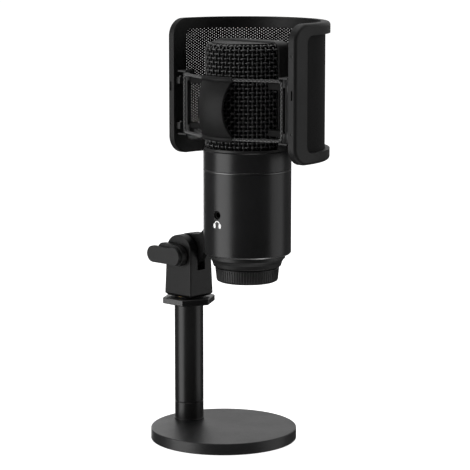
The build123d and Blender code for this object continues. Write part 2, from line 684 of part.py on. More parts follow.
with BuildPart() as frame_screws:
    for side in (-1, 1):
        for screw_z in END_SCREW_Z:
            slot_x = mirrored(side)((RAIL_RADIUS + FILTER_INNER) / 2)
            rod_along_y(slot_x, screw_z, ARM_END_Y - END_WALL, ARM_END_Y - 0.4, 0.8)


def layer(outer, inner, windowed):
    """Add one layer inside the pop filter's frame, with or without the frame's window."""
    u_band(FILTER_LOW, FILTER_TOP, outer, inner, ARM_END_Y)
    across_filter(inset_side)
    if windowed:
        across_filter(window_side, mode=Mode.SUBTRACT)


with BuildPart() as outer_mesh:
    layer(SPACER_OUTER + MESH_THICKNESS, SPACER_OUTER, windowed=False)

with BuildPart() as mesh_spacer:
    layer(SPACER_OUTER, SPACER_INNER, windowed=True)

with BuildPart() as inner_mesh:
    layer(SPACER_INNER, INNER_FRAME_OUTER, windowed=False)

with BuildPart() as inner_frame:
    layer(INNER_FRAME_OUTER, FILTER_INNER, windowed=True)

# ---------------------------------------------------------------- brackets and bumpers


def bracket(side):
    """Add one bracket: a plate with two lugs to the arm and a tab at each end for the cord."""
    x = mirrored(side)

    def slab(near, far, front, back, low, high):
        block((min(x(near), x(far)), front, low), (max(x(near), x(far)), back, high))

    front = BRACKET_FRONT_Y
    slab(BRACKET_SPINE, BRACKET_FAR, front, 11.9, BRACKET_LOW, BRACKET_TOP)
    for low in (BRACKET_LOW, BRACKET_TOP - TAB_THICKNESS):
        slab(BRACKET_NEAR, BRACKET_FAR + 1.0, front, TAB_BACK_Y, low, low + TAB_THICKNESS)
    for low in (BRACKET_LOW, BRACKET_TOP - CHEEK_HEIGHT):
        slab(BRACKET_NEAR, BRACKET_SPINE, front, 12.0, low, low + CHEEK_HEIGHT)
    for low in LUG_LOWS:
        slab(BRACKET_FAR, FILTER_INNER, front + 0.6, 15.0, low, low + LUG_HEIGHT)


def bracket_pins(side):
    """Add the two pins that hold a bracket's lugs to the arm."""
    x = mirrored(side)((BRACKET_FAR + FILTER_INNER) / 2)
    for low in LUG_LOWS:
        with Locations((x, 12.6, low + LUG_HEIGHT)):
            Cylinder(0.8, 0.8, align=UPRIGHT)


def bumpers(side):
    """Add two rounded rubber bars from a bracket to the side of the head."""
    tip_radius = 2.0
    bar_y = 10.0
    tip_x = sqrt((FRAME_OUTER + EDGE_BEAD + tip_radius + CLEARANCE) ** 2 - bar_y**2)
    x = mirrored(side)
    with BuildSketch(mode=Mode.PRIVATE) as bar:
        with BuildLine():
            Line((x(BRACKET_NEAR), bar_y + tip_radius), (x(tip_x), bar_y + tip_radius))
            ThreePointArc(
                (x(tip_x), bar_y + tip_radius),
                (x(tip_x - tip_radius), bar_y),
                (x(tip_x), bar_y - tip_radius),
            )
            Line((x(tip_x), bar_y - tip_radius), (x(BRACKET_NEAR), bar_y - tip_radius))
            Line((x(BRACKET_NEAR), bar_y - tip_radius), (x(BRACKET_NEAR), bar_y + tip_radius))
        make_face()
    for z in BUMPER_Z:
        extrude(Plane.XY.offset(z - 2.0) * bar.sketch, amount=4.0)


with BuildPart() as left_bracket:
    bracket(1)

with BuildPart() as right_bracket:
    bracket(-1)

with BuildPart() as all_pins:
    bracket_pins(1)
    bracket_pins(-1)

with BuildPart() as left_bumpers:
    bumpers(1)

with BuildPart() as right_bumpers:
    bumpers(-1)

# ---------------------------------------------------------------- cord and pull plate

ANCHOR_X = PLATE_CORD_RADIUS * sin(radians(PLATE_HALF_ANGLE))
ANCHOR_Y = PLATE_CORD_RADIUS * cos(radians(PLATE_HALF_ANGLE))


def cord_half(side):
    """Add the cord on one side: from the plate to the bracket, down, and back to the plate."""
    x = mirrored(side)
    with BuildLine(mode=Mode.PRIVATE) as route:
        FilletPolyline(
            (x(ANCHOR_X), ANCHOR_Y, CORD_TOP),
            (x(CORD_X), CORD_Y, CORD_TOP),
            (x(CORD_X), CORD_Y, CORD_LOW),
            (x(ANCHOR_X), ANCHOR_Y, CORD_LOW),
            radius=CORD_TURN,
        )
    start = Plane(origin=route.line @ 0, z_dir=route.line % 0)
    with BuildSketch(start, mode=Mode.PRIVATE) as section:
        Circle(CORD_RADIUS)
    sweep(section.sketch, path=route.line)


def plate_end_plane(half_angle):
    """The upright plane through the head's axis at the end of a span of the plate."""
    turn = radians(90.0 - half_angle)
    return Plane(
        origin=(MIC_X, 0, 0),
        x_dir=(cos(turn), sin(turn), 0),
        z_dir=(sin(turn), -cos(turn), 0),
    )


def plate_span(radius, half_angle, mode=Mode.ADD):
    """Add two round bars along the plate's edges, bent to the curve of the head."""
    with BuildSketch(plate_end_plane(half_angle), mode=Mode.PRIVATE) as sections:
        for z in (CORD_LOW, CORD_TOP):
            with Locations((PLATE_CORD_RADIUS, z)):
                Circle(radius)
    revolve(sections.sketch, axis=MIC_AXIS, revolution_arc=2 * half_angle, mode=mode)


with BuildPart() as left_cord:
    cord_half(1)

with BuildPart() as right_cord:
    cord_half(-1)

with BuildPart() as plate_cord:
    plate_span(CORD_RADIUS, PLATE_HALF_ANGLE - 0.9)

with BuildPart() as pull_plate:
    middle_z = (CORD_LOW + CORD_TOP) / 2
    with BuildSketch(plate_end_plane(PLATE_HALF_ANGLE)):
        with BuildLine():
            outer_arc = ThreePointArc(
                (PLATE_CORD_RADIUS + 0.2, CORD_TOP),
                (PLATE_CORD_RADIUS + PLATE_BULGE, middle_z),
                (PLATE_CORD_RADIUS + 0.2, CORD_LOW),
            )
            lower = Line(outer_arc @ 1, (PLATE_CORD_RADIUS - PLATE_THICKNESS + 0.2, CORD_LOW))
            inner_arc = ThreePointArc(
                lower @ 1,
                (PLATE_CORD_RADIUS + PLATE_BULGE - PLATE_THICKNESS, middle_z),
                (PLATE_CORD_RADIUS - PLATE_THICKNESS + 0.2, CORD_TOP),
            )
            Line(inner_arc @ 1, outer_arc @ 0)
        make_face()
    revolve(axis=MIC_AXIS, revolution_arc=2 * PLATE_HALF_ANGLE)
    with BuildSketch(Plane.XZ.offset(-2 * PLATE_CORD_RADIUS)):
        with BuildLine():
            right_edge = ThreePointArc(
                (MIC_X + ANCHOR_X + 1.0, CORD_TOP + 3),
                (MIC_X + ANCHOR_X - 2.6, middle_z),
                (MIC_X + ANCHOR_X + 1.0, CORD_LOW - 3),
            )
            across = Line(right_edge @ 1, (MIC_X - ANCHOR_X - 1.0, CORD_LOW - 3))
            left_edge = ThreePointArc(
                across @ 1,
                (MIC_X - ANCHOR_X + 2.6, middle_z),
                (MIC_X - ANCHOR_X - 1.0, CORD_TOP + 3),
            )
            Line(left_edge @ 1, right_edge @ 0)
        make_face()
    extrude(amount=2 * PLATE_CORD_RADIUS, mode=Mode.INTERSECT)
    plate_span(BEAD_RADIUS, PLATE_HALF_ANGLE - 0.6)
    plate_span(CORD_RADIUS + 0.03, PLATE_HALF_ANGLE + 1.0, mode=Mode.SUBTRACT)

# ---------------------------------------------------------------- export

NODES = {
    "base_disc": base_disc,
    "base_pad": base_pad,
    "base_screw": base_screw,
    "foot_washer": foot_washer,
    "foot_collar": foot_collar,
    "foot_insert": foot_insert,
    "pole_tube": pole_tube,
    "pole_stud": pole_stud,
    "hex_lock_nut": hex_lock_nut,
    "thrust_washer": thrust_washer,
    "clevis_block": clevis_block,
    "thread_insert": thread_insert,
    "pivot_nut": pivot_nut,
    "friction_washers": friction_washers,
    "thumb_shaft": thumb_shaft,
    "thumb_lever": thumb_lever,
    "swivel_arm": swivel_arm,
    "arm_screws": arm_screws,
    "lower_housing": lower_housing,
    "seam_ring": seam_ring,
    "upper_ring": upper_ring,
    "bottom_collar": bottom_collar,
    "dial_core": dial_core,
    "usb_socket": usb_socket,
    "dial_encoder": dial_encoder,
    "volume_dial": volume_dial,
    "main_board": main_board,
    "headphone_socket": headphone_socket,
    "button_board": button_board,
    "mute_switch": mute_switch,
    "status_lens": status_lens,
    "mute_button": mute_button,
    "head_deck": head_deck,
    "head_frame": head_frame,
    "rear_grille": rear_grille,
    "front_grille": front_grille,
    "grille_liner": grille_liner,
    "capsule_body": capsule_body,
    "capsule_diaphragm": capsule_diaphragm,
    "capsule_cradle": capsule_cradle,
    "filter_frame": filter_frame,
    "frame_screws": frame_screws,
    "outer_mesh": outer_mesh,
    "mesh_spacer": mesh_spacer,
    "inner_mesh": inner_mesh,
    "inner_frame": inner_frame,
    "left_bracket": left_bracket,
    "right_bracket": right_bracket,
    "bracket_pins": all_pins,
    "left_bumpers": left_bumpers,
    "right_bumpers": right_bumpers,
    "left_cord": left_cord,
    "right_cord": right_cord,
    "plate_cord": plate_cord,
    "pull_plate": pull_plate,
}

os.makedirs("parts", exist_ok=True)
for name, piece in NODES.items():
    piece.part.label = name
    export_step(piece.part, f"parts/{name}.step")
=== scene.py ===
import math

import bpy
import numpy as np
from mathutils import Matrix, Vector


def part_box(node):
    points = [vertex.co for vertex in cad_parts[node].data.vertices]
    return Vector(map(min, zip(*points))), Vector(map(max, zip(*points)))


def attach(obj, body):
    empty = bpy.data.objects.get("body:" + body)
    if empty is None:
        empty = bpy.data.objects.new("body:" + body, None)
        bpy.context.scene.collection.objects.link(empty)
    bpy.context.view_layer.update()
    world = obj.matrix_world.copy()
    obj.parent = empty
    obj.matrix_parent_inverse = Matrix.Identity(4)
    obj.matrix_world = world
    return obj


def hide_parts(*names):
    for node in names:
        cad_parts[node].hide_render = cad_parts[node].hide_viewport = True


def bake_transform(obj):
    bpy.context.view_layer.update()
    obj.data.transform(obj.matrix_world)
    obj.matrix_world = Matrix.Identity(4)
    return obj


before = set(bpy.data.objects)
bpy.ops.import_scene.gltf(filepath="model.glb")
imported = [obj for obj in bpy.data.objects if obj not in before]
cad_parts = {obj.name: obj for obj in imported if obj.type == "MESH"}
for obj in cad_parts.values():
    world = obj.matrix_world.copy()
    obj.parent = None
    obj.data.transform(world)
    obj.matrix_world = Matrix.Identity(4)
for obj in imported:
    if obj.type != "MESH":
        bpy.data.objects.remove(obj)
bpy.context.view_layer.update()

MM = 0.001

# ------------------------------------------------------------------ camera and studio

CAMERA_AZIMUTH = math.radians(223.0)
CAMERA_ELEVATION = math.radians(9.05)
CAMERA_DISTANCE = 1.4148
CAMERA_TARGET = Vector((-0.00573, -0.00534, 0.14125))
CAMERA_LENS = 159.5
SENSOR_WIDTH = 36.0
STUDIO_TARGET = Vector((0, 0, 0.12))
STRIP_DISTANCE = 1.3
STRIP_HEIGHT = 1.3
SKY_STRENGTH = 1.05
ROOM_NEAR = 0.07
ROOM_FAR = 0.8
FLOOR_RADIUS = 6.0
FLOOR_GLOW = 0.93


def heading(degrees_left, elevation=0.0):
    """Unit vector that points away from the object, measured to the left of the camera's direction."""
    a = CAMERA_AZIMUTH + math.radians(degrees_left)
    e = math.radians(elevation)
    return Vector((math.sin(a) * math.cos(e), -math.cos(a) * math.cos(e), math.sin(e)))


def make_camera():
    data = bpy.data.cameras.new("camera")
    data.lens = CAMERA_LENS
    data.sensor_width = SENSOR_WIDTH
    data.clip_start = 0.01
    data.clip_end = 50
    camera = bpy.data.objects.new("camera", data)
    bpy.context.scene.collection.objects.link(camera)
    back = heading(0, math.degrees(CAMERA_ELEVATION))
    camera.location = CAMERA_TARGET + back * CAMERA_DISTANCE
    camera.rotation_mode = "QUATERNION"
    camera.rotation_quaternion = (-back).to_track_quat("-Z", "Y")
    bpy.context.scene.camera = camera


def panel(name, direction, distance, width, height, power):
    """A softbox: a rectangular area light that faces the object."""
    data = bpy.data.lights.new(name, "AREA")
    data.shape = "RECTANGLE"
    data.size = width
    data.size_y = height
    data.energy = power
    lamp = bpy.data.objects.new(name, data)
    bpy.context.scene.collection.objects.link(lamp)
    lamp.location = STUDIO_TARGET + direction * distance
    lamp.rotation_mode = "QUATERNION"
    lamp.rotation_quaternion = (-direction).to_track_quat("-Z", "Y")


def smooth_step(nodes, links, value, start, result):
    """A smooth ramp from one pair of values to another."""
    ramp = nodes.new("ShaderNodeMapRange")
    ramp.interpolation_type = "SMOOTHSTEP"
    ramp.inputs["From Min"].default_value = start[0]
    ramp.inputs["From Max"].default_value = start[1]
    ramp.inputs["To Min"].default_value = result[0]
    ramp.inputs["To Max"].default_value = result[1]
    links.new(value, ramp.inputs["Value"])
    return ramp.outputs["Result"]


def make_world():
    """White to the camera; a dim room for reflections, lighter on the far side of the object."""
    world = bpy.data.worlds.new("studio")
    bpy.context.scene.world = world
    world.use_nodes = True
    nodes, links = world.node_tree.nodes, world.node_tree.links
    nodes.clear()
    out = nodes.new("ShaderNodeOutputWorld")
    mix = nodes.new("ShaderNodeMixShader")
    path = nodes.new("ShaderNodeLightPath")
    white = nodes.new("ShaderNodeBackground")
    white.inputs["Color"].default_value = (1, 1, 1, 1)
    white.inputs["Strength"].default_value = SKY_STRENGTH
    room = nodes.new("ShaderNodeBackground")
    where = nodes.new("ShaderNodeTexCoord")
    dot = nodes.new("ShaderNodeVectorMath")
    dot.operation = "DOT_PRODUCT"
    dot.inputs[1].default_value = -heading(0)
    height = nodes.new("ShaderNodeSeparateXYZ")
    both = nodes.new("ShaderNodeMath")
    both.operation = "MULTIPLY"
    links.new(where.outputs["Generated"], dot.inputs[0])
    links.new(where.outputs["Generated"], height.inputs[0])
    far_side = smooth_step(nodes, links, dot.outputs["Value"], (-0.15, 0.95), (ROOM_NEAR, ROOM_FAR))
    over_horizon = smooth_step(nodes, links, height.outputs["Z"], (-0.12, 0.08), (0.1, 1.0))
    links.new(far_side, both.inputs[0])
    links.new(over_horizon, both.inputs[1])
    links.new(both.outputs["Value"], room.inputs["Strength"])
    links.new(path.outputs["Is Camera Ray"], mix.inputs["Fac"])
    links.new(room.outputs["Background"], mix.inputs[1])
    links.new(white.outputs["Background"], mix.inputs[2])
    links.new(mix.outputs["Shader"], out.inputs["Surface"])


def make_studio():
    make_world()
    panel("key_strip", heading(-66), STRIP_DISTANCE, 1.05, STRIP_HEIGHT, 10.5)
    panel("fill_strip", heading(84), STRIP_DISTANCE, 1.0, STRIP_HEIGHT, 3.2)
    panel("top_box", Vector((0, 0, 1)), 1.3, 1.2, 1.2, 8)
    panel("front_strip", heading(-165), 1.5, 0.5, 1.2, 2)
    panel("under_box", Vector((0, 0, -1)), 0.9, 0.9, 0.9, 2.5)
    bpy.context.scene.view_settings.view_transform = "Standard"


def make_floor():
    bpy.ops.mesh.primitive_circle_add(vertices=96, radius=FLOOR_RADIUS, fill_type="NGON")
    floor = bpy.context.object
    floor.name = "floor"
    floor.visible_glossy = False
    floor.visible_shadow = False
    m = bpy.data.materials.new("floor_pale")
    m.use_nodes = True
    shader = m.node_tree.nodes["Principled BSDF"]
    shader.inputs["Base Color"].default_value = (0.9, 0.9, 0.9, 1)
    shader.inputs["Roughness"].default_value = 0.9
    shader.inputs["Specular IOR Level"].default_value = 0.0
    shader.inputs["Emission Color"].default_value = (1, 1, 1, 1)
    shader.inputs["Emission Strength"].default_value = FLOOR_GLOW
    floor.data.materials.append(m)


# ------------------------------------------------------------------ materials


NOISE_ROUGHNESS = 0.55
CLOUD_SCALE = 38.0
SHARP_ANGLE = math.radians(28)


def graph(name):
    m = bpy.data.materials.new(name)
    m.use_nodes = True
    nodes, links = m.node_tree.nodes, m.node_tree.links
    return m, nodes, links, nodes["Principled BSDF"]


def noise(nodes, links, where, scale, detail=3.0):
    node = nodes.new("ShaderNodeTexNoise")
    node.inputs["Scale"].default_value = scale
    node.inputs["Detail"].default_value = detail
    node.inputs["Roughness"].default_value = NOISE_ROUGHNESS
    links.new(where, node.inputs["Vector"])
    return node.outputs["Fac"]


def remap(nodes, links, value, low, high, from_low=0.3, from_high=0.7):
    node = nodes.new("ShaderNodeMapRange")
    node.inputs["From Min"].default_value = from_low
    node.inputs["From Max"].default_value = from_high
    node.inputs["To Min"].default_value = low
    node.inputs["To Max"].default_value = high
    links.new(value, node.inputs["Value"])
    return node.outputs["Result"]


def tint(nodes, links, factor, dark, light):
    node = nodes.new("ShaderNodeMix")
    node.data_type = "RGBA"
    node.inputs["A"].default_value = (*dark, 1)
    node.inputs["B"].default_value = (*light, 1)
    links.new(factor, node.inputs["Factor"])
    return node.outputs["Result"]


def add_bump(nodes, links, shader, height, distance, under=None):
    node = nodes.new("ShaderNodeBump")
    node.inputs["Strength"].default_value = 1.0
    node.inputs["Distance"].default_value = distance
    links.new(height, node.inputs["Height"])
    if under is not None:
        links.new(under, node.inputs["Normal"])
    links.new(node.outputs["Normal"], shader.inputs["Normal"])


def finish(name, dark, light, roughness, metallic=0.0, specular=0.5, grain=2500.0, bump=0.00003,
           spread=0.06, stretch=(1, 1, 1), coat=0.0, round_edges=0.0):
    """A moulded, painted or anodised surface: fine grain, cloudy colour and uneven roughness."""
    m, nodes, links, shader = graph(name)
    where = nodes.new("ShaderNodeTexCoord").outputs["Object"]
    scaled = nodes.new("ShaderNodeMapping")
    scaled.inputs["Scale"].default_value = stretch
    links.new(where, scaled.inputs["Vector"])
    cloud = noise(nodes, links, where, CLOUD_SCALE, 4.0)
    fine = noise(nodes, links, scaled.outputs["Vector"], grain, 3.0)
    links.new(tint(nodes, links, cloud, dark, light), shader.inputs["Base Color"])
    both = nodes.new("ShaderNodeMath")
    both.operation = "ADD"
    links.new(cloud, both.inputs[0])
    links.new(fine, both.inputs[1])
    rough = remap(nodes, links, both.outputs["Value"], roughness - spread, roughness + spread, 0.7, 1.3)
    links.new(rough, shader.inputs["Roughness"])
    shader.inputs["Metallic"].default_value = metallic
    shader.inputs["Specular IOR Level"].default_value = specular
    shader.inputs["Coat Weight"].default_value = coat
    under = None
    if round_edges > 0:
        bevel = nodes.new("ShaderNodeBevel")
        bevel.samples = 4
        bevel.inputs["Radius"].default_value = round_edges
        under = bevel.outputs["Normal"]
    add_bump(nodes, links, shader, fine, bump, under=under)
    return m


def open_cells(name, dark, light, scale, roughness):
    """Foam or felt: open cells from a cell pattern, with painted shade that darkens the pit of each
    cell.
    """
    m, nodes, links, shader = graph(name)
    where = nodes.new("ShaderNodeTexCoord").outputs["Object"]
    cells = nodes.new("ShaderNodeTexVoronoi")
    cells.inputs["Scale"].default_value = scale
    links.new(where, cells.inputs["Vector"])
    # painted shade: the colour runs from dark at each cell's centre, the bottom of its pit in the bump
    # below, to light at its rim
    links.new(tint(nodes, links, cells.outputs["Distance"], dark, light), shader.inputs["Base Color"])
    rough = remap(nodes, links, cells.outputs["Distance"], roughness - 0.05, 1.0)
    links.new(rough, shader.inputs["Roughness"])
    add_bump(nodes, links, shader, cells.outputs["Distance"], 0.0004)
    return m


def fibre(name, dark, light, roughness=0.6):
    """Braided yarn: fine fibres that run along and across the strand."""
    m, nodes, links, shader = graph(name)
    where = nodes.new("ShaderNodeTexCoord").outputs["Object"]
    wave = nodes.new("ShaderNodeTexWave")
    wave.inputs["Scale"].default_value = 1500.0
    wave.inputs["Distortion"].default_value = 4.0
    links.new(where, wave.inputs["Vector"])
    speck = noise(nodes, links, where, 3000.0, 2.0)
    both = nodes.new("ShaderNodeMath")
    both.operation = "MULTIPLY"
    links.new(wave.outputs["Fac"], both.inputs[0])
    links.new(speck, both.inputs[1])
    links.new(tint(nodes, links, both.outputs["Value"], light, dark), shader.inputs["Base Color"])
    links.new(remap(nodes, links, speck, roughness, roughness + 0.2), shader.inputs["Roughness"])
    shader.inputs["Sheen Weight"].default_value = 0.3
    add_bump(nodes, links, shader, wave.outputs["Fac"], 0.00005)
    return m


BEVEL_SLOPE = -0.7
BEVEL_SPREAD = 0.2


def turned_edge(m, bright):
    """Bare metal where the surface slopes down and out, as on a bevel turned after painting."""
    nodes, links = m.node_tree.nodes, m.node_tree.links
    shader = nodes["Principled BSDF"]
    split = nodes.new("ShaderNodeSeparateXYZ")
    links.new(nodes.new("ShaderNodeNewGeometry").outputs["True Normal"], split.inputs[0])
    slope = nodes.new("ShaderNodeMath")
    slope.operation = "COMPARE"
    slope.inputs[1].default_value = BEVEL_SLOPE
    slope.inputs[2].default_value = BEVEL_SPREAD
    links.new(split.outputs["Z"], slope.inputs[0])
    painted = shader.inputs["Base Color"].links[0].from_socket
    mix = nodes.new("ShaderNodeMix")
    mix.data_type = "RGBA"
    mix.inputs["B"].default_value = (*bright, 1)
    links.new(slope.outputs["Value"], mix.inputs["Factor"])
    links.new(painted, mix.inputs["A"])
    links.new(mix.outputs["Result"], shader.inputs["Base Color"])
    links.new(slope.outputs["Value"], shader.inputs["Metallic"])
    return m


def grey(value, blue=0.0):
    return (value, value, value * (1 + blue))


MATERIALS = {
    "base_paint": finish(
        "base_paint", grey(0.009), grey(0.012, 0.1), 0.38, specular=0.55, grain=5200,
        bump=0.000035, round_edges=0.0004
    ),
    "pad_rubber": finish(
        "pad_rubber", grey(0.01), grey(0.02), 0.8, grain=900, bump=0.0001, specular=0.3
    ),
    "pole_metal": finish(
        "pole_metal", grey(0.007), grey(0.01), 0.32, grain=2600, spread=0.02, bump=0.000004
    ),
    "steel": finish(
        "steel", grey(0.32), grey(0.42), 0.34, metallic=1.0, grain=1800, stretch=(1, 1, 6),
        round_edges=0.0002
    ),
    "nut_metal": finish(
        "nut_metal", grey(0.09), grey(0.13), 0.36, metallic=1.0, grain=2200, bump=0.00004,
        round_edges=0.0003
    ),
    "swivel_metal": finish(
        "swivel_metal", grey(0.004), grey(0.006), 0.36, specular=0.28, grain=3600, bump=0.00005,
        round_edges=0.0004
    ),
    "lever_metal": finish(
        "lever_metal", grey(0.008), grey(0.013), 0.42, specular=0.35, grain=3200, bump=0.00005,
        round_edges=0.0004
    ),
    "arm_metal": finish(
        "arm_metal", grey(0.003), grey(0.005), 0.5, specular=0.15, grain=3600, bump=0.00005,
        round_edges=0.0004
    ),
    "socket_plastic": finish(
        "socket_plastic", grey(0.003), grey(0.005), 0.6, specular=0.12, grain=2400
    ),
    "black_oxide": finish("black_oxide", grey(0.01), grey(0.016), 0.4, grain=2000),
    "nylon": finish("nylon", grey(0.006), grey(0.01), 0.55, grain=1500, specular=0.4),
    "brass": finish("brass", (0.42, 0.26, 0.07), (0.55, 0.36, 0.12), 0.3, metallic=1.0, grain=1500),
    "body_metal": finish(
        "body_metal", grey(0.006), grey(0.008, 0.1), 0.3, grain=5200, bump=0.00001, spread=0.03,
        round_edges=0.0002
    ),
    "seam_metal": finish(
        "seam_metal", grey(0.12), grey(0.16), 0.35, metallic=1.0, grain=2600, stretch=(0.1, 0.1, 1)
    ),
    "collar_plastic": finish(
        "collar_plastic", grey(0.006), grey(0.01), 0.46, grain=2800, bump=0.00004
    ),
    "dial_plastic": finish(
        "dial_plastic", grey(0.008), grey(0.013), 0.42, grain=2600, bump=0.00003
    ),
    "board": finish("board", (0.004, 0.04, 0.012), (0.008, 0.07, 0.02), 0.4, grain=900),
    "black_plastic": finish("black_plastic", grey(0.005), grey(0.009), 0.5, grain=2400),
    "button_plastic": finish(
        "button_plastic", grey(0.02), grey(0.03), 0.5, grain=2400, round_edges=0.0003
    ),
    "lens": finish("lens", (0.35, 0.6, 0.45), (0.45, 0.75, 0.55), 0.15, grain=800, coat=0.6),
    "head_metal": finish(
        "head_metal", grey(0.008), grey(0.012), 0.42, grain=4200, bump=0.00003, round_edges=0.0003
    ),
    "wire": finish("wire", grey(0.09), grey(0.14), 0.34, metallic=1.0, grain=3200, bump=0.00003),
    "liner": open_cells("liner", grey(0.001), grey(0.006), 900, 0.9),
    "capsule": finish(
        "capsule", (0.35, 0.25, 0.1), (0.45, 0.33, 0.15), 0.3, metallic=1.0, grain=1200
    ),
    "diaphragm": finish(
        "diaphragm", (0.6, 0.42, 0.12), (0.7, 0.5, 0.2), 0.18, metallic=1.0, grain=600
    ),
    "rail_metal": finish(
        "rail_metal", grey(0.005), grey(0.008), 0.48, specular=0.35, grain=3600, bump=0.00005,
        round_edges=0.0004
    ),
    "mesh_metal": finish(
        "mesh_metal", grey(0.003), grey(0.005), 0.6, specular=0.15, grain=3000, bump=0.00002
    ),
    "gasket": open_cells("gasket", grey(0.004), grey(0.01), 1500, 0.85),
    "bracket_plastic": finish(
        "bracket_plastic", grey(0.012), grey(0.018), 0.5, grain=2800, bump=0.00005,
        round_edges=0.0003
    ),
    "bumper_rubber": finish(
        "bumper_rubber", grey(0.004), grey(0.007), 0.6, grain=1800, bump=0.00006, specular=0.15,
        round_edges=0.0005
    ),
    "plate_plastic": finish(
        "plate_plastic", grey(0.005), grey(0.007), 0.5, specular=0.26, grain=3000, bump=0.00004,
        round_edges=0.0003
    ),
    "ink": finish("ink", grey(0.8), grey(0.9), 0.5, grain=2000, bump=0.00001),
    "yarn_white": fibre("yarn_white", grey(0.034), grey(0.12)),
    "yarn_black": fibre("yarn_black", grey(0.004), grey(0.02)),
}

MATERIALS["body_metal"] = turned_edge(MATERIALS["body_metal"], grey(0.45))

LOOKS = {
    "base_paint": ["base_disc"],
    "pad_rubber": ["base_pad"],
    "pole_metal": ["pole_tube", "foot_collar", "foot_washer"],
    "steel": [
        "base_screw", "foot_insert", "pole_stud", "pivot_nut", "thumb_shaft", "arm_screws",
        "bracket_pins", "usb_socket",
    ],
    "nut_metal": ["hex_lock_nut"],
    "swivel_metal": ["clevis_block"],
    "arm_metal": ["swivel_arm"],
    "socket_plastic": ["headphone_socket"],
    "lever_metal": ["thumb_lever"],
    "nylon": ["thrust_washer", "friction_washers"],
    "black_oxide": ["frame_screws"],
    "brass": ["thread_insert"],
    "body_metal": ["lower_housing", "upper_ring"],
    "seam_metal": ["seam_ring"],
    "collar_plastic": ["bottom_collar", "dial_core"],
    "dial_plastic": ["volume_dial"],
    "board": ["main_board", "button_board"],
    "black_plastic": ["mute_switch", "dial_encoder", "capsule_cradle", "head_deck"],
    "button_plastic": ["mute_button"],
    "lens": ["status_lens"],
    "head_metal": ["head_frame"],
    "wire": ["rear_grille", "front_grille"],
    "liner": ["grille_liner"],
    "capsule": ["capsule_body"],
    "diaphragm": ["capsule_diaphragm"],
    "rail_metal": ["filter_frame", "inner_frame"],
    "mesh_metal": ["outer_mesh", "inner_mesh"],
    "gasket": ["mesh_spacer"],
    "bracket_plastic": ["left_bracket", "right_bracket"],
    "bumper_rubber": ["left_bumpers", "right_bumpers"],
    "plate_plastic": ["pull_plate"],
    "yarn_white": ["left_cord", "right_cord", "plate_cord"],
}


def dress_nodes():
    for look, names in LOOKS.items():
        for name in names:
            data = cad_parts[name].data
            data.materials.clear()
            data.materials.append(MATERIALS[look])
            data.polygons.foreach_set("use_smooth", [True] * len(data.polygons))
            data.set_sharp_from_angle(angle=SHARP_ANGLE)


# ------------------------------------------------------------------ mesh helpers


def make_piece(name, points, faces, looks, smooth=True, face_looks=None):
    data = bpy.data.meshes.new(name)
    data.from_pydata([tuple(p) for p in points], [], [tuple(int(i) for i in f) for f in faces])
    for look in looks:
        data.materials.append(MATERIALS[look])
    if face_looks is not None:
        data.polygons.foreach_set("material_index", face_looks)
    data.polygons.foreach_set("use_smooth", [smooth] * len(data.polygons))
    data.update()
    piece = bpy.data.objects.new(name, data)
    bpy.context.scene.collection.objects.link(piece)
    return piece


def across_path(path, facing):
    """Two unit vectors square to a path at each point, the first of them turned towards facing."""
    tangent = np.gradient(path, axis=0)
    tangent /= np.linalg.norm(tangent, axis=1)[:, None]
    facing = np.asarray(facing, float)
    first = facing - (facing * tangent).sum(1)[:, None] * tangent
    first /= np.linalg.norm(first, axis=1)[:, None]
    return first, np.cross(tangent, first)


def tube_along(path, facing, radius, sides, flat=1.0):
    """Points and faces of a closed tube along a path, with its first side towards facing."""
    path = np.asarray(path, float)
    first, second = across_path(path, facing)
    turn = np.arange(sides) * 2 * math.pi / sides
    ring = first[:, None] * np.cos(turn)[:, None] * flat + second[:, None] * np.sin(turn)[:, None]
    points = (path[:, None] + ring * radius).reshape(-1, 3)
    n = len(path)
    i, j = np.meshgrid(np.arange(n - 1), np.arange(sides), indexing="ij")
    k = (j + 1) % sides
    quads = np.stack([i * sides + j, (i + 1) * sides + j, (i + 1) * sides + k, i * sides + k], -1)
    faces = [tuple(q) for q in quads.reshape(-1, 4)[:, ::-1]]
    faces.append(tuple(range(sides)))
    faces.append(tuple((n - 1) * sides + s for s in reversed(range(sides))))
    return points, faces


def joined(parts):
    """Several (points, faces) as one pair."""
    points, faces, start = [], [], 0
    for p, f in parts:
        points.append(p)
        faces += [tuple(i + start for i in face) for face in f]
        start += len(p)
    return np.concatenate(points), faces


# ------------------------------------------------------------------ woven grilles

RING_LOW, RING_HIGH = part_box("upper_ring")
MIC_X = (RING_LOW.x + RING_HIGH.x) / 2
BODY_RADIUS = (RING_HIGH.x - RING_LOW.x) / 2
WIRE_RADIUS = 0.6 * MM
WIRE_SWING = 0.96 * WIRE_RADIUS
WIRES_ROUND = 58
ROW_PITCH = 2.76 * MM
WEAVE_STEPS = 6
SHOULDER = 3.5 * MM
SILL_CORNER = 4.5 * MM
SILL_REACH = 31.9 * MM
WIRE_SIDES = 8
SHORTEST_WIRE = 4
EDGE_OVERLAP = 0.2 * MM


def head_profile(t, wall_radius, low, bend):
    """Radius, height and outward slope of the grille's side, t along it from the sill to its top."""
    t = np.asarray(t, float)
    turn = np.clip((t - (bend - low)) / SHOULDER, 0, math.pi / 2)
    straight = np.clip(t, None, bend - low)
    radius = wall_radius - SHOULDER * (1 - np.cos(turn))
    height = low + straight + SHOULDER * np.sin(turn)
    return radius, height, np.cos(turn), np.sin(turn)


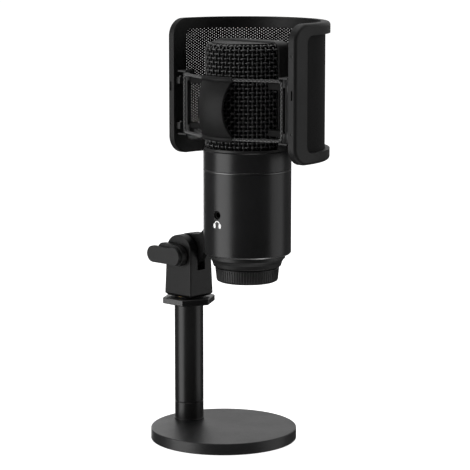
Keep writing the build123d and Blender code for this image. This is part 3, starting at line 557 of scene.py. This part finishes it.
def woven_grille(name, node, facing):
    """Plain weave of round wires, bent to the head and cut to the rounded window of a CAD grille."""
    low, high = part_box(node)
    edge_y, face_y = (low.y, high.y) if facing > 0 else (high.y, -low.y)
    wall_radius = face_y - WIRE_RADIUS - WIRE_SWING
    bend = high.z - WIRE_RADIUS - WIRE_SWING - SHOULDER
    length = bend - low.z + SHOULDER * math.pi / 2
    rows = int(length / ROW_PITCH)
    first_row = (length - (rows - 1) * ROW_PITCH) / 2
    column_angle = 2 * math.pi / WIRES_ROUND

    def wire(t, angle, lift):
        """One wire: its places on the head, with those outside the window left out."""
        radius, height, out, up = head_profile(t, wall_radius, low.z, bend)
        x = (radius + lift * out) * np.cos(angle)
        y = (radius + lift * out) * np.sin(angle)
        z = height + lift * up
        inset = np.clip(np.abs(x) - (SILL_REACH - SILL_CORNER), 0, SILL_CORNER)
        sill = low.z + SILL_CORNER - np.sqrt(SILL_CORNER**2 - inset**2)
        inside = ((y - edge_y) * facing >= -EDGE_OVERLAP) & (z >= sill) & (t <= length)
        if inside.sum() < SHORTEST_WIRE:
            return []
        slope = np.stack([np.cos(angle) * out, np.sin(angle) * out, up + 0 * angle], -1)
        path = np.stack([MIC_X + x, y, z], -1)
        return [tube_along(path[inside], slope[inside], WIRE_RADIUS, WIRE_SIDES)]

    parts = []
    steps = np.arange(WIRES_ROUND * WEAVE_STEPS + 1)
    angle = steps * column_angle / WEAVE_STEPS - facing * math.pi / 2
    for row in range(rows):
        t = np.full(len(steps), first_row + row * ROW_PITCH)
        parts += wire(t, angle, WIRE_SWING * np.cos(math.pi * (steps / WEAVE_STEPS + row)))
    tall = np.arange((rows + 1) * WEAVE_STEPS) / WEAVE_STEPS - 1.0
    for column in range(WIRES_ROUND):
        angle = np.full(len(tall), column * column_angle - facing * math.pi / 2)
        lift = -WIRE_SWING * np.cos(math.pi * (tall + column))
        parts += wire(first_row + tall * ROW_PITCH, angle, lift)
    points, faces = joined(parts)
    piece = make_piece(name, points, faces, ["wire"])
    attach(piece, "microphone")
    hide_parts(node)


FOAM_THICKNESS = 1.0 * MM
FOAM_AROUND = 260
FOAM_LEVELS = 110
DEEPEST_PIT = 0.45 * MM


def foam_liner():
    """Thin open-cell foam behind the wires, with a pitted outer face."""
    low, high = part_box("grille_liner")
    outer = (high.x - low.x) / 2
    around, levels = FOAM_AROUND, FOAM_LEVELS
    rng = np.random.default_rng(7)
    pit = rng.random((levels, around)) ** 3 * DEEPEST_PIT
    pit[0] = pit[-1] = 0
    angle = np.arange(around) * 2 * math.pi / around
    height = np.linspace(low.z, high.z, levels)
    height = np.repeat(height[:, None], around, 1)
    rings = [outer - pit, np.full((levels, around), outer - FOAM_THICKNESS)]
    points = [np.stack([MIC_X + r * np.cos(angle), r * np.sin(angle), height], -1) for r in rings]
    count = levels * around
    i, j = np.meshgrid(np.arange(levels - 1), np.arange(around), indexing="ij")
    k = (j + 1) % around
    below, above = i * around, (i + 1) * around
    quads = np.stack([below + j, below + k, above + k, above + j], -1).reshape(-1, 4)
    faces = [tuple(q) for q in quads] + [tuple(q[::-1] + count) for q in quads]
    for row, flip in ((0, True), (levels - 1, False)):
        for a in range(around):
            here, there = row * around + a, row * around + (a + 1) % around
            face = (here, there, count + there, count + here)
            faces.append(face[::-1] if flip else face)
    points = np.concatenate([p.reshape(-1, 3) for p in points])
    piece = make_piece("foam_liner", points, faces, ["liner"])
    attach(piece, "microphone")
    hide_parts("grille_liner")


# ------------------------------------------------------------------ perforated sheets of the pop filter

HOLE_PITCH = 1.5 * MM
HOLE_ROW_PITCH = 1.8 * MM
HOLE_SIDES = 8
OUTER_HOLE_RADIUS = 0.23 * MM
INNER_HOLE_RADIUS = 0.62 * MM
PLAIN_BORDER = 3.0 * MM
RAIL_OVERLAP = 0.6 * MM
SHEET = 0.12 * MM
WALL = 0.3 * MM
EDGE_IN_RAIL = 3.6 * MM
SHEET_PIECES = 2
SAME_POINT = 0.01 * MM
FILTER_LOW, FILTER_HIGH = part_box("filter_frame")
MESH_LOW, MESH_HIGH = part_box("outer_mesh")
FILTER_X = (MESH_LOW.x + MESH_HIGH.x) / 2
U_CENTRE_Y = MESH_LOW.y + (MESH_HIGH.x - MESH_LOW.x) / 2
RAIL_HEIGHT = 7.6 * MM
MEAN_RADIUS = (MESH_HIGH.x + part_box("inner_mesh")[1].x) / 2 - FILTER_X
HALF_PITCH = HOLE_PITCH / 2
HALF_ROW = HOLE_ROW_PITCH / 2


def u_wall(s, radius, rear_y):
    """Place on the U-shaped wall: s runs from the end of one arm, round the front, to the other."""
    arm = rear_y - U_CENTRE_Y
    bow = math.pi * MEAN_RADIUS
    s = np.asarray(s, float)
    x = np.empty_like(s)
    y = np.empty_like(s)
    first, last = s < arm, s > arm + bow
    middle = ~first & ~last
    x[first], y[first] = radius, rear_y - s[first]
    turn = (s[middle] - arm) / MEAN_RADIUS
    x[middle], y[middle] = radius * np.cos(turn), U_CENTRE_Y - radius * np.sin(turn)
    x[last], y[last] = -radius, U_CENTRE_Y + (s[last] - arm - bow)
    return FILTER_X + x, y


class FlatSheet:
    """Faces of a sheet laid flat, as (along, up) points, that are joined where they meet."""

    def __init__(self):
        self.points, self.faces, self.count = [], [], 0

    def add(self, points, faces):
        self.points.append(np.array(points))
        self.faces += [tuple(i + self.count for i in face) for face in faces]
        self.count += len(points)

    def merged(self):
        flat = np.concatenate(self.points)
        keys = np.round(flat / SAME_POINT).astype(np.int64)
        _, first, back = np.unique(keys, axis=0, return_index=True, return_inverse=True)
        return flat[first], back.ravel()[np.array(self.faces)]


def add_holes(sheet, centre_s, base, rows, hole_radius):
    """One column of cells, each a square rim round a hole."""
    turn = np.arange(HOLE_SIDES) * 2 * math.pi / HOLE_SIDES
    hole = np.stack([np.cos(turn), np.sin(turn)], -1) * hole_radius
    rim = [(1, 0), (1, 1), (0, 1), (-1, 1), (-1, 0), (-1, -1), (0, -1), (1, -1)]
    rim = np.array(rim, float) * (HALF_PITCH, HALF_ROW)
    after = [(k + 1) % HOLE_SIDES for k in range(HOLE_SIDES)]
    faces = [(k, n, HOLE_SIDES + n, HOLE_SIDES + k) for k, n in enumerate(after)]
    for row in range(rows):
        centre = np.array([centre_s, base + (row + 0.5) * HOLE_ROW_PITCH])
        sheet.add(np.concatenate([centre + rim, centre + hole]), faces)


def add_border(sheet, centre_s, levels):
    """The plain part of a column, split at its middle so that it meets the holes' rims."""
    left, right = centre_s - HALF_PITCH, centre_s + HALF_PITCH
    for z0, z1 in zip(levels, levels[1:]):
        points = [(left, z0), (centre_s, z0), (right, z0), (right, z1), (centre_s, z1), (left, z1)]
        sheet.add(points, [(0, 1, 4, 5), (1, 2, 3, 4)])


def add_end(sheet, s0, s1, levels):
    """The plain strip at one end of the sheet."""
    for z0, z1 in zip(levels, levels[1:]):
        sheet.add([(s0, z0), (s1, z0), (s1, z1), (s0, z1)], [(0, 1, 2, 3)])


def thick_sheet(flat, faces, outer, rear_y):
    """A flat sheet bent to the U, given its thickness and closed round every edge and hole."""
    layers = []
    for radius in (outer, outer - SHEET):
        x, y = u_wall(flat[:, 0], radius, rear_y)
        layers.append(np.stack([x, y, flat[:, 1]], -1))
    count = len(flat)
    corners = [[0, 1], [1, 2], [2, 3], [3, 0]]
    edges = dict.fromkeys(tuple(e) for e in np.concatenate([faces[:, c] for c in corners]))
    walls = [(b, a, a + count, b + count) for a, b in edges if (b, a) not in edges]
    closed = [tuple(f) for f in faces] + [tuple(f[::-1] + count) for f in faces] + walls
    return np.concatenate(layers), closed


def perforated(name, node, hole_radius, on_inside):
    """A sheet with staggered round holes and a plain border, split along its length."""
    low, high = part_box(node)
    outer = (high.x - low.x) / 2 - (WALL - SHEET if on_inside else 0)
    z_low, z_high, rear_y = low.z + EDGE_IN_RAIL, high.z - EDGE_IN_RAIL, high.y - EDGE_IN_RAIL
    length = 2 * (rear_y - U_CENTRE_Y) + math.pi * MEAN_RADIUS
    columns = int((length - 2 * PLAIN_BORDER) / HOLE_PITCH)
    start = (length - columns * HOLE_PITCH) / 2
    bottom = FILTER_LOW.z + RAIL_HEIGHT - RAIL_OVERLAP
    top = FILTER_HIGH.z - RAIL_HEIGHT + RAIL_OVERLAP
    rows = int((top - bottom) / HOLE_ROW_PITCH)
    base = (bottom + top - rows * HOLE_ROW_PITCH) / 2
    last = base + rows * HOLE_ROW_PITCH
    end_levels = [z_low] + [base + i * HALF_ROW for i in range(2 * rows + 1)] + [z_high]
    bounds = np.linspace(0, columns, SHEET_PIECES + 1).astype(int)
    for part in range(SHEET_PIECES):
        sheet = FlatSheet()
        for column in range(bounds[part], bounds[part + 1]):
            centre_s = start + (column + 0.5) * HOLE_PITCH
            if column % 2:
                add_holes(sheet, centre_s, base + HALF_ROW, rows - 1, hole_radius)
                add_border(sheet, centre_s, [z_low, base, base + HALF_ROW])
                add_border(sheet, centre_s, [last - HALF_ROW, last, z_high])
            else:
                add_holes(sheet, centre_s, base, rows, hole_radius)
                add_border(sheet, centre_s, [z_low, base])
                add_border(sheet, centre_s, [last, z_high])
        if part == 0:
            add_end(sheet, 0.0, start, end_levels)
        if part == SHEET_PIECES - 1:
            add_end(sheet, start + columns * HOLE_PITCH, length, end_levels)
        flat, faces = sheet.merged()
        points, closed = thick_sheet(flat, faces, outer, rear_y)
        piece = make_piece(f"{name}_{part + 1}", points, closed, ["mesh_metal"], smooth=False)
        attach(piece, "pop_filter")
        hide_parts(node)


# ------------------------------------------------------------------ braided elastic cord

CORD_RADIUS = 1.05 * MM
STRAND_RADIUS = 0.3 * MM
STRANDS = 8
BRAID_PITCH = 5.6 * MM
CORD_TURN = 2.6 * MM
CORD_STEP = 0.28 * MM
CORD_FACING = (0, 1, 0.35)
TURN_POINTS = 9
WEAVE_LIFT = 0.5 * STRAND_RADIUS
WEAVE_RADIUS = CORD_RADIUS - 1.35 * STRAND_RADIUS
CORE_RADIUS = CORD_RADIUS - 1.6 * STRAND_RADIUS
STRAND_WIDTH = 1.25 * STRAND_RADIUS
STRAND_FLATNESS = 0.72
BEAD_OVERLAP = 0.6 * MM


def rounded_route(corners, radius, step):
    """Evenly spaced points along straight runs with rounded corners."""
    corners = [np.array(c, float) for c in corners]
    out = [corners[0]]
    for before, corner, after in zip(corners, corners[1:], corners[2:]):
        u = (before - corner) / np.linalg.norm(before - corner)
        v = (after - corner) / np.linalg.norm(after - corner)
        half = math.acos(np.clip(u @ v, -1, 1)) / 2
        trim = radius / math.tan(half)
        middle = corner + (u + v) / np.linalg.norm(u + v) * radius / math.sin(half)
        a, b = corner + u * trim - middle, corner + v * trim - middle
        sweep = math.pi - 2 * half
        for t in np.linspace(0, 1, TURN_POINTS):
            swung = a * math.sin((1 - t) * sweep) + b * math.sin(t * sweep)
            out.append(middle + swung / math.sin(sweep))
    out.append(corners[-1])
    out = np.array(out)
    run = np.concatenate([[0], np.cumsum(np.linalg.norm(np.diff(out, axis=0), axis=1))])
    even = np.arange(0, run[-1], step)
    return np.stack([np.interp(even, run, out[:, i]) for i in range(3)], -1), even


def braid(name, path, run, facing):
    """Round braid of eight strands over a core, four each way, that pass over and under each other."""
    first, second = across_path(path, facing)
    parts, looks = [], []
    half = STRANDS // 2
    for way in (1, -1):
        for strand in range(half):
            turn = way * (2 * math.pi * run / BRAID_PITCH) + 2 * math.pi * strand / half
            crossing = 2 * half * run / BRAID_PITCH * math.pi
            radius = WEAVE_RADIUS + WEAVE_LIFT * way * np.cos(crossing + math.pi * strand)
            out = first * np.cos(turn)[:, None] + second * np.sin(turn)[:, None]
            part = tube_along(path + out * radius[:, None], out, STRAND_WIDTH, 6, STRAND_FLATNESS)
            parts.append(part)
            dark = (strand + (way < 0)) % 2 == 0
            looks += [1 if dark else 0] * len(part[1])
    core = tube_along(path, first, CORE_RADIUS, 8)
    parts.append(core)
    looks += [1] * len(core[1])
    points, faces = joined(parts)
    return make_piece(name, points, faces, ["yarn_white", "yarn_black"], face_looks=looks)


def make_cords():
    """Both halves of the cord, each a C from the pull plate round a bracket and back."""
    bead_low, bead_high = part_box("plate_cord")
    for side, name in ((1, "left_cord"), (-1, "right_cord")):
        low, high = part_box(name)
        far = high.x if side > 0 else low.x
        z_low, z_high = low.z + CORD_RADIUS, high.z - CORD_RADIUS
        anchor_x = (bead_high.x if side > 0 else bead_low.x) - side * BEAD_OVERLAP
        anchor_y = high.y - CORD_RADIUS * 0.75
        turn_x, turn_y = far - side * CORD_RADIUS, low.y + CORD_RADIUS
        anchor, turn = (anchor_x, anchor_y, z_low), (turn_x, turn_y, z_low)
        corners = [(anchor_x, anchor_y, z_high), (turn_x, turn_y, z_high), turn, anchor]
        path, run = rounded_route(corners, CORD_TURN, CORD_STEP)
        piece = braid(f"elastic_{name}", path, run, CORD_FACING)
        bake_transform(piece)
        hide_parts(name)


# ------------------------------------------------------------------ printed symbol under the jack


SYMBOL_BELOW_JACK = 6.3 * MM
INK_THICKNESS = 0.04 * MM
SYMBOL_BAND = 2.55 * MM
BAND_THICKNESS = 0.7 * MM
BAND_PAST_HALF = 0.12
CUP_X, CUP_Z = 2.35 * MM, -0.85 * MM
CUP_HALF_WIDTH, CUP_HALF_HEIGHT = 1.0 * MM, 1.6 * MM
CUP_TIP = 0.02 * MM


def printed_symbol():
    """Generic headphones: a band over two ear cups, printed on the curved housing."""
    low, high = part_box("headphone_socket")
    jack_z = (low.z + high.z) / 2
    centre_z = jack_z - SYMBOL_BELOW_JACK
    parts = []

    def patch(outline_a, outline_b):
        """A strip between two lines of (across, up) points, wrapped on the housing."""
        points = []
        for lift in (0.0, INK_THICKNESS):
            for line in (outline_a, outline_b):
                for u, v in line:
                    a = u / BODY_RADIUS
                    r = BODY_RADIUS + lift
                    points.append((MIC_X - r * math.sin(a), r * math.cos(a), centre_z + v))
        n = len(outline_a)
        faces = []
        for i in range(n - 1):
            top_a, top_b = 2 * n + i, 3 * n + i
            faces.append((top_a, top_b, top_b + 1, top_a + 1))
            faces.append((i, i + 1, n + i + 1, n + i))
            faces.append((i, top_a, top_a + 1, i + 1))
            faces.append((n + i, n + i + 1, top_b + 1, top_b))
        faces.append((0, n, 3 * n, 2 * n))
        faces.append((n - 1, 3 * n - 1, 4 * n - 1, 2 * n - 1))
        parts.append((np.array(points), faces))

    angles = np.linspace(-BAND_PAST_HALF, math.pi + BAND_PAST_HALF, 25)
    inner = SYMBOL_BAND - BAND_THICKNESS
    patch(
        [(SYMBOL_BAND * math.cos(t), SYMBOL_BAND * math.sin(t)) for t in angles],
        [(inner * math.cos(t), inner * math.sin(t)) for t in angles],
    )
    levels = np.linspace(-1, 1, 17)
    width = [CUP_HALF_WIDTH * (1 - abs(t) ** 3.2) ** (1 / 2.2) + CUP_TIP for t in levels]
    up = [CUP_Z + CUP_HALF_HEIGHT * t for t in levels]
    for side in (-1, 1):
        patch(
            [(side * CUP_X + w, z) for w, z in zip(width, up)],
            [(side * CUP_X - w, z) for w, z in zip(width, up)],
        )
    points, faces = joined(parts)
    piece = make_piece("headphone_symbol", points, faces, ["ink"], smooth=False)
    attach(piece, "microphone")


# ------------------------------------------------------------------ build

make_camera()
make_studio()
make_floor()
dress_nodes()
woven_grille("woven_rear_grille", "rear_grille", 1)
woven_grille("woven_front_grille", "front_grille", -1)
foam_liner()
perforated("outer_perforated", "outer_mesh", OUTER_HOLE_RADIUS, on_inside=True)
perforated("inner_perforated", "inner_mesh", INNER_HOLE_RADIUS, on_inside=False)
make_cords()
printed_symbol()
